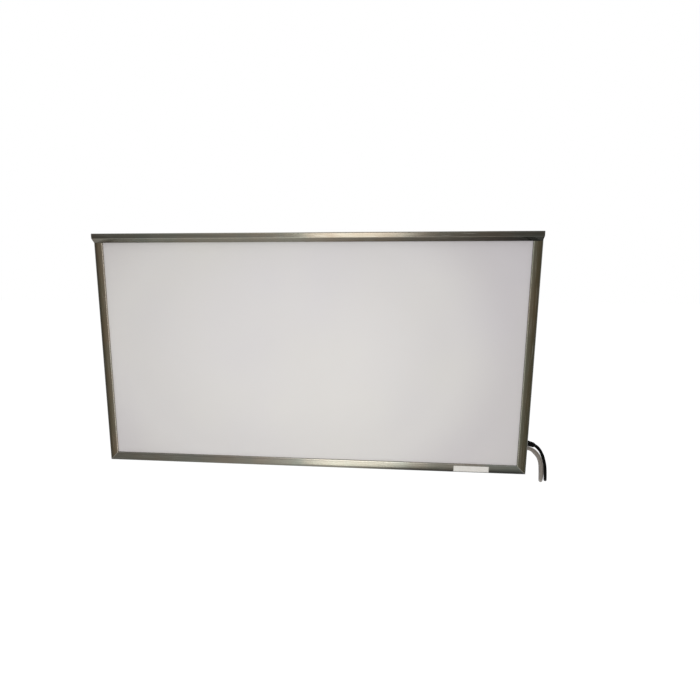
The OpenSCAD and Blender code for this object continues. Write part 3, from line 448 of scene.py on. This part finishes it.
def opal():
    """Opal acrylic: painted sheen in the middle, painted shade a little darker at its edges, its
    shine smeared and finely scratched.
    """
    s = Shade("opal_acrylic", ior=1.49, specular_ior_level=0.3)
    x = s.spread(s.axis(X), *OPAL_SHEEN_X, -1, 1)
    z = s.spread(s.axis(Z), *OPAL_SHEEN_Z, -1, 1)
    out = s.maths(s.maths(x, x, "MULTIPLY"), s.maths(z, z, "MULTIPLY"))
    # Painted sheen in the middle, painted shade a little darker towards the edges.
    base = s.ramp(
        s.spread(out, 0, 2.0),
        (0.0, srgb(219, 216, 212)), (0.25, srgb(212, 209, 205)), (0.5, srgb(200, 196, 194)),
        (1.0, srgb(188, 185, 183)),
        ease="EASE",
    )
    clouds = s.noise(3.5, 2, 0.5)
    cooler = s.tinted(base, srgb(247, 246, 255))
    base = s.mix(s.spread(clouds, 0.35, 0.7, 0, 0.5), base, cooler)
    smears = s.noise(5, 4, 0.6, s.scaled(1, 1, 0.55), 0.8)
    hair = s.noise(1.0, 1, 0.5, s.scaled(900, 1, 14))
    shine = s.spread(smears, 0.3, 0.75, 0.42, 0.55)
    s.set(
        base_color=base,
        roughness=s.maths(shine, s.spread(hair, 0.66, 0.72, 0, 0.07)),
        subsurface_weight=0.12,
        subsurface_radius=(0.004, 0.004, 0.004),
        normal=s.bump(s.noise(7, 2, 0.5), OPAL_BUMP, 0.5),
    )
    return s.material


# Other materials. Bump distances are in metres.

ENAMEL_PEEL = 0.00003
ZINC_BUMP = 0.00003
RUBBER_BUMP = 0.00006
SHEATH_BUMP = 0.00005
GLASS_BUMP = 0.00002
LABEL_BUMP = 0.00002
# Where the lamps' ends darken, in z: above the first range and below the second.
LAMP_TOP = (-0.02, 0.03)
LAMP_FOOT = (-0.36, -0.31)
# The bare plate's extent, the grey line round it, that line's soft edge and its thickness.
LABEL_X = (0.286, 0.355)
LABEL_Z = (-0.4021, -0.3890)
LABEL_RIM = 0.0007
LABEL_FADE = 0.0003
LABEL_T = 0.0003


def enamel(name, colour, grime, rough=0.34):
    """Stove enamel on sheet steel: orange peel, a dull film in patches and specks of dirt."""
    s = Shade(name, coat_weight=0.15, coat_roughness=0.2)
    film = s.noise(8, 5, 0.6)
    specks = s.noise(300, 2, 0.7)
    base = s.mix(s.spread(film, 0.35, 0.75, 0, 0.5), colour, grime)
    base = s.mix(s.spread(specks, 0.70, 0.78, 0, 0.45), base, s.tinted(base, grey(0.42)))
    s.set(
        base_color=base,
        roughness=s.spread(film, 0.3, 0.75, rough - 0.06, rough + 0.12),
        normal=s.bump(s.noise(520, 2, 0.5), ENAMEL_PEEL, 0.7),
    )
    return s.material


def zinc(name, colour=(0.56, 0.57, 0.58, 1), rough=0.32):
    """Zinc plate: grains that catch the light apart, a faint yellow passivation and dull spots."""
    s = Shade(name, metallic=1.0)
    grains = s.cells(260)
    tint = s.noise(45, 3, 0.6)
    base = s.mix(s.spread(grains, 0.1, 0.8), colour, s.tinted(colour, grey(0.76)))
    base = s.mix(s.spread(tint, 0.45, 0.75, 0, 0.45), base, s.tinted(base, srgb(244, 228, 190)))
    s.set(
        base_color=base,
        roughness=s.spread(tint, 0.3, 0.8, rough - 0.06, rough + 0.16),
        normal=s.bump(grains, ZINC_BUMP, 0.5),
    )
    return s.material


def moulded(name, colour, rough, grain, depth=0.00004, dust=0.12, **sockets):
    """Moulded plastic: a spark-eroded grain, a little dust in it and slow changes of tone."""
    s = Shade(name, **sockets)
    slow = s.noise(30, 3, 0.6)
    fine = s.noise(grain, 2, 0.6)
    base = s.mix(s.spread(slow, 0.35, 0.7), colour, s.tinted(colour, grey(0.86)))
    base = s.mix(s.spread(fine, 0.55, 0.8, 0, dust), base, srgb(170, 166, 160))
    s.set(
        base_color=base,
        roughness=s.spread(slow, 0.3, 0.75, rough - 0.05, rough + 0.1),
        normal=s.bump(fine, depth, 0.8),
    )
    return s.material


def rubber(name, colour, rough):
    """Rubber and foam: dull, with bloom and dust lying unevenly on it."""
    s = Shade(name)
    bloom = s.noise(60, 5, 0.65)
    pores = s.noise(1400, 2, 0.7)
    base = s.mix(s.spread(bloom, 0.45, 0.8, 0, 0.3), colour, srgb(116, 112, 106))
    s.set(
        base_color=base,
        roughness=s.spread(bloom, 0.3, 0.8, rough, rough + 0.2),
        normal=s.bump(pores, RUBBER_BUMP, 0.8),
    )
    return s.material


def sheath(name, colour, worn, rough, level):
    """A lead's flexible sheath: drawn lines, rubbed spots and a little dust."""
    s = Shade(name, specular_ior_level=level)
    rub = s.noise(55, 4, 0.6)
    fine = s.noise(900, 3, 0.6)
    base = s.mix(s.spread(rub, 0.45, 0.78, 0, 0.5), colour, worn)
    base = s.mix(s.spread(fine, 0.6, 0.8, 0, 0.2), base, s.tinted(base, grey(0.6)))
    s.set(
        base_color=base,
        roughness=s.spread(rub, 0.3, 0.75, rough - 0.07, rough + 0.12),
        normal=s.bump(fine, SHEATH_BUMP, 0.6),
    )
    return s.material


def lamp_glass():
    """A coated tube: white inside the glass, grey where its ends have darkened in use."""
    s = Shade("lamp_glass", coat_weight=0.6, coat_roughness=0.04)
    height = s.axis(Z)
    top = s.spread(height, *LAMP_TOP)
    foot = s.spread(height, *LAMP_FOOT, 1, 0)
    cloud = s.spread(s.noise(90, 3, 0.6), 0.3, 0.7, 0.6, 1.0)
    ends = s.maths(s.maths(top, foot), cloud, "MULTIPLY")
    base = s.mix(s.maths(ends, 0.55, "MULTIPLY"), srgb(238, 239, 236), srgb(120, 116, 108))
    s.set(
        base_color=base,
        roughness=s.spread(s.noise(40, 2, 0.5), 0.3, 0.7, 0.08, 0.16),
        normal=s.bump(s.noise(260, 1, 0.5), GLASS_BUMP, 0.5),
    )
    return s.material


def inside_line(s, value, low, high):
    """1 between low and high, and 0 in the plate's grey line at either end."""
    rise = s.spread(value, low + LABEL_RIM, low + LABEL_RIM + LABEL_FADE)
    fall = s.spread(value, high - LABEL_RIM - LABEL_FADE, high - LABEL_RIM, 1, 0)
    return s.maths(rise, fall, "MULTIPLY")


def label_paper():
    """The bare plate: coated paper that has yellowed a little, with a thin grey line round it."""
    s = Shade("label_face", coat_weight=0.1, coat_roughness=0.3)
    inside_x = inside_line(s, s.axis(X), *LABEL_X)
    inside_z = inside_line(s, s.axis(Z), *LABEL_Z)
    fibres = s.noise(380, 4, 0.7)
    stain = s.noise(90, 3, 0.6)
    face = s.mix(s.spread(stain, 0.4, 0.75, 0, 0.5), srgb(214, 211, 205), srgb(198, 192, 180))
    face = s.mix(s.spread(fibres, 0.4, 0.8, 0, 0.2), face, srgb(188, 184, 176))
    base = s.mix(s.maths(inside_x, inside_z, "MULTIPLY"), srgb(150, 147, 142), face)
    s.set(base_color=base, roughness=0.46, normal=s.bump(fibres, LABEL_BUMP, 0.6))
    return s.material


# What each node wears

WHITE_ENAMEL = enamel("case_enamel", (0.78, 0.765, 0.72, 1), (0.66, 0.635, 0.57, 1))
REFLECTOR = enamel("reflector_enamel", (0.88, 0.88, 0.86, 1), (0.78, 0.77, 0.73, 1), 0.28)
ZINC = zinc("zinc_plate")
BALLAST = zinc("ballast_can", (0.5, 0.51, 0.52, 1), 0.4)
ALUMINIUM = zinc("lamp_cap_metal", (0.74, 0.74, 0.73, 1), 0.28)
NICKEL = zinc("nickel_pins", (0.74, 0.73, 0.7, 1), 0.14)
WHITE_PLASTIC = moulded("white_plastic", (0.82, 0.82, 0.79, 1), 0.38, 500)
ROLLER_PLASTIC = moulded("roller_plastic", (0.78, 0.77, 0.73, 1), 0.34, 600)
BLACK_PLASTIC = moulded("black_plastic", (0.012, 0.012, 0.012, 1), 0.36, 900, dust=0.05)
BLACK_BOOT = moulded(
    "black_boot", (0.0018, 0.0017, 0.0015, 1), 0.5, 900, dust=0.01, specular_ior_level=0.04
)
RED_PLASTIC = moulded("rocker_red", (0.50, 0.02, 0.012, 1), 0.3, 500, depth=0.00001, dust=0.03)
FOAM = rubber("gasket_foam", (0.03, 0.03, 0.03, 1), 0.75)
BUFFER = rubber("buffer_rubber", (0.018, 0.018, 0.018, 1), 0.6)
BLACK_SHEATH = sheath(
    "black_sheath", (0.0016, 0.0015, 0.0012, 1), (0.005, 0.0048, 0.0042, 1), 0.5, 0.03
)
GREY_SHEATH = sheath("grey_sheath", srgb(124, 116, 107), srgb(142, 134, 124), 0.34, 0.4)

WEARS = {
    WHITE_ENAMEL: ["case_tray"],
    opal(): ["diffuser"],
    FOAM: ["diffuser_gasket"],
    REFLECTOR: ["reflector"],
    lamp_glass(): ["lamp_tubes"],
    ALUMINIUM: ["lamp_caps"],
    WHITE_PLASTIC: ["lampholders", "terminal_block", "tie_bases"],
    ROLLER_PLASTIC: [f"grip_roller_{i}" for i in range(1, 7)],
    ZINC: ["corner_keys", "roller_dividers", "lampholder_rails", "ballast_screws", "earth_stud",
           "hanger_left", "hanger_right", "hanger_rivets", "case_screws", "rail_screws"],
    BALLAST: ["ballast_left", "ballast_right"],
    BLACK_PLASTIC: ["switch_housing_left", "switch_housing_right", "mains_gland", "link_gland",
                    "mains_plug", "mains_tie", "link_tie"],
    BLACK_BOOT: ["mains_strain_relief"],
    RED_PLASTIC: ["switch_rocker_left", "switch_rocker_right"],
    BUFFER: ["wall_buffers"],
    NICKEL: ["plug_pins"],
    GREY_SHEATH: ["link_strain_relief", "link_socket"],
}
WEARS.update({material: [node] for node, material in FRAME_STEEL.items()})


def dress(node, material):
    """Every face of that CAD node in one material."""
    piece = NODES[node]
    if not piece.material_slots:
        piece.data.materials.append(material)
    for held in piece.material_slots:
        held.material = material


for material, worn_by in WEARS.items():
    for node in worn_by:
        dress(node, material)
mains_cord.data.materials.append(BLACK_SHEATH)
link_cord.data.materials.append(GREY_SHEATH)

# The bare plate on the bottom strip

LABEL_COLUMNS = 36
LABEL_ROWS = 18
# The strip's face is looked for at this x, from this far in front of the wall, and is taken to
# lie here until it is found.
PROBE_X = 0.32
PROBE_Y = -0.5
FACE_Y = -0.124


def front_of(node, x, z):
    """The y of the front of a CAD node at x and z, or None beside it."""
    hit, place, *_ = NODES[node].ray_cast(Vector((x, PROBE_Y, z)), Vector((0, 1, 0)))
    return place.y if hit else None


def make_label():
    """A thin bare plate stuck to the bottom strip, following its rounded face."""
    mesh = bmesh.new()
    grid = []
    face_y = FACE_Y
    for j in range(LABEL_ROWS + 1):
        z = LABEL_Z[1] + (LABEL_Z[0] - LABEL_Z[1]) * j / LABEL_ROWS
        found = front_of("frame_bottom", PROBE_X, z)
        face_y = face_y if found is None else found
        line = []
        for i in range(LABEL_COLUMNS + 1):
            x = LABEL_X[0] + (LABEL_X[1] - LABEL_X[0]) * i / LABEL_COLUMNS
            line.append(mesh.verts.new((x, face_y - LABEL_T, z)))
        grid.append(line)
    for a, b in zip(grid, grid[1:]):
        for i in range(LABEL_COLUMNS):
            mesh.faces.new((a[i], b[i], b[i + 1], a[i + 1]))
    data = bpy.data.meshes.new("label")
    mesh.to_mesh(data)
    mesh.free()
    label = show("label", data)
    data.materials.append(label_paper())
    thick = label.modifiers.new("thickness", "SOLIDIFY")
    thick.thickness = LABEL_T
    thick.offset = -1
    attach(label, "root")


make_label()

# Floor, world and lights

FLOOR_Z = -1.25
FLOOR_REACH = 14
FLOOR_CORNERS = ((-1, -1), (1, -1), (1, 1), (-1, 1))
WORLD_COLOUR = (0.985, 0.99, 1.0, 1)
WORLD_STRENGTH = 0.60
FLOOR_COLOUR = (0.86, 0.86, 0.86, 1)
FLOOR_GLOW = 0.52
WINDOW = dict(
    place=(0.075, -1.9, -0.395), target=(0.075, 0, -0.395), width=0.54, height=1.49, radiance=5.0
)
OVERHEAD = dict(
    place=(-0.1, -1.2, 1.5), target=(0, -0.1, -0.1), width=1.0, height=0.7, radiance=1.2
)


def seen_directly(tree):
    """1 for rays of the camera, of reflections and through glass, and 0 for all others."""
    path = tree.nodes.new("ShaderNodeLightPath")
    direct = path.outputs["Is Camera Ray"]
    for ray in ("Is Glossy Ray", "Is Transmission Ray"):
        most = tree.nodes.new("ShaderNodeMath")
        most.operation = "MAXIMUM"
        tree.links.new(direct, most.inputs[0])
        tree.links.new(path.outputs[ray], most.inputs[1])
        direct = most.outputs[0]
    return direct


def floor_paint():
    """A pale floor that glows to white where it is lit and keeps the object's shadow."""
    material = bpy.data.materials.new("floor_paint")
    material.use_nodes = True
    tree = material.node_tree
    tree.nodes.clear()
    out = tree.nodes.new("ShaderNodeOutputMaterial")
    diffuse = tree.nodes.new("ShaderNodeBsdfDiffuse")
    glow = tree.nodes.new("ShaderNodeEmission")
    both = tree.nodes.new("ShaderNodeAddShader")
    level = tree.nodes.new("ShaderNodeMath")
    level.operation = "MULTIPLY"
    diffuse.inputs["Color"].default_value = FLOOR_COLOUR
    level.inputs[1].default_value = FLOOR_GLOW
    tree.links.new(seen_directly(tree), level.inputs[0])
    tree.links.new(level.outputs[0], glow.inputs["Strength"])
    tree.links.new(diffuse.outputs[0], both.inputs[0])
    tree.links.new(glow.outputs[0], both.inputs[1])
    tree.links.new(both.outputs[0], out.inputs[0])
    return material


def make_floor():
    data = bpy.data.meshes.new("floor")
    corners = [(FLOOR_REACH * x, FLOOR_REACH * y, FLOOR_Z) for x, y in FLOOR_CORNERS]
    data.from_pydata(corners, [], [(0, 1, 2, 3)])
    floor = bpy.data.objects.new("floor", data)
    bpy.context.scene.collection.objects.link(floor)
    floor.data.materials.append(floor_paint())


def make_world():
    """A soft even light that is seen as plain white."""
    world = bpy.data.worlds.new("studio")
    bpy.context.scene.world = world
    world.use_nodes = True
    tree = world.node_tree
    tree.nodes.clear()
    out = tree.nodes.new("ShaderNodeOutputWorld")
    seen = tree.nodes.new("ShaderNodeBackground")
    light = tree.nodes.new("ShaderNodeBackground")
    blend = tree.nodes.new("ShaderNodeMixShader")
    seen.inputs["Color"].default_value = grey(1.0)
    seen.inputs["Strength"].default_value = 1.0
    light.inputs["Color"].default_value = WORLD_COLOUR
    light.inputs["Strength"].default_value = WORLD_STRENGTH
    tree.links.new(seen_directly(tree), blend.inputs[0])
    tree.links.new(light.outputs[0], blend.inputs[1])
    tree.links.new(seen.outputs[0], blend.inputs[2])
    tree.links.new(blend.outputs[0], out.inputs[0])


def make_light(name, place, target, width, height, radiance):
    """A rectangular soft light of the given radiance, turned to a target."""
    data = bpy.data.lights.new(name, "AREA")
    data.shape = "RECTANGLE"
    data.size, data.size_y = width, height
    data.energy = radiance * math.pi * width * height
    lamp = bpy.data.objects.new(name, data)
    towards = Vector(target) - Vector(place)
    lamp.location = place
    lamp.rotation_mode = "QUATERNION"
    lamp.rotation_quaternion = towards.to_track_quat("-Z", "Y")
    bpy.context.scene.collection.objects.link(lamp)


make_floor()
make_world()
make_light("window", **WINDOW)
make_light("overhead", **OVERHEAD)

bpy.context.scene.view_settings.view_transform = "Standard"
